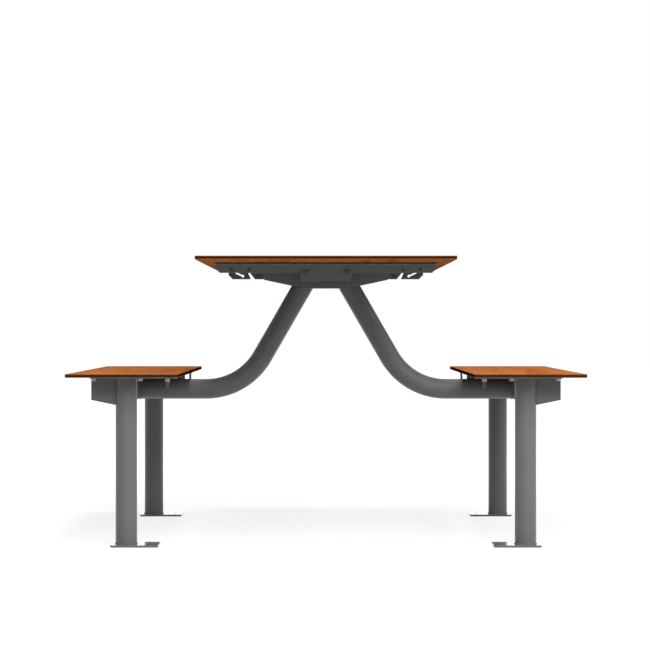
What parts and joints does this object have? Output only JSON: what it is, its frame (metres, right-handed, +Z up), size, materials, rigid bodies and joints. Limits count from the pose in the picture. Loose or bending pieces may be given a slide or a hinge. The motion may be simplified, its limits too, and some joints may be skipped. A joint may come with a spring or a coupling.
{
  "type": "rectangular table with attached benches",
  "caption": "Rectangular board table on a leaning tube frame, with a bench fixed along each long side and bolt-down post feet.",
  "frame": {"origin": "on the floor, under the middle of the table", "axes": "+Z up, +Y along the table from its front end to its rear end, +X across the table to the right bench"},
  "size_m": [1.434, 1.8, 0.8],
  "materials": {
    "board_laminate": "satin compact laminate with a wood grain along the board and near-black edges",
    "frame_paint": "semi-gloss mid-grey powder coat",
    "zinc_plate": "bright zinc-plated steel",
    "black_zinc": "satin black-passivated zinc plating, dark enough to pass for the frame's paint",
    "insert_brass": "plain turned brass"
  },
  "bodies": {
    "root": {"table_board": "board_laminate", "table_board_inserts": "insert_brass", "table_board_screws": "black_zinc", "table_board_washers": "black_zinc", "front_cross_member": "frame_paint", "rear_cross_member": "frame_paint", "front_beam": "frame_paint", "rear_beam": "frame_paint", "cross_member_bolts": "black_zinc", "cross_member_nuts": "black_zinc", "beam_end_bolts": "black_zinc", "beam_end_nuts": "black_zinc", "front_arm_plate": "frame_paint", "rear_arm_plate": "frame_paint", "arm_top_strip": "frame_paint", "left_curved_tube": "frame_paint", "right_curved_tube": "frame_paint", "left_seat_board": "board_laminate", "right_seat_board": "board_laminate", "seat_inserts": "insert_brass", "seat_bolts": "zinc_plate", "seat_washers": "zinc_plate", "seat_studs": "zinc_plate", "seat_stud_nuts": "zinc_plate", "left_seat_rail": "frame_paint", "right_seat_rail": "frame_paint", "front_left_rail_wing": "frame_paint", "front_right_rail_wing": "frame_paint", "rear_left_rail_wing": "frame_paint", "rear_right_rail_wing": "frame_paint", "front_left_seat_plate": "frame_paint", "front_right_seat_plate": "frame_paint", "rear_left_seat_plate": "frame_paint", "rear_right_seat_plate": "frame_paint", "middle_left_seat_plate": "frame_paint", "middle_right_seat_plate": "frame_paint", "left_plate_saddle": "frame_paint", "right_plate_saddle": "frame_paint", "front_left_post": "frame_paint", "front_right_post": "frame_paint", "rear_left_post": "frame_paint", "rear_right_post": "frame_paint", "front_left_base_plate": "frame_paint", "front_right_base_plate": "frame_paint", "rear_left_base_plate": "frame_paint", "rear_right_base_plate": "frame_paint"}
  },
  "joints": []
}
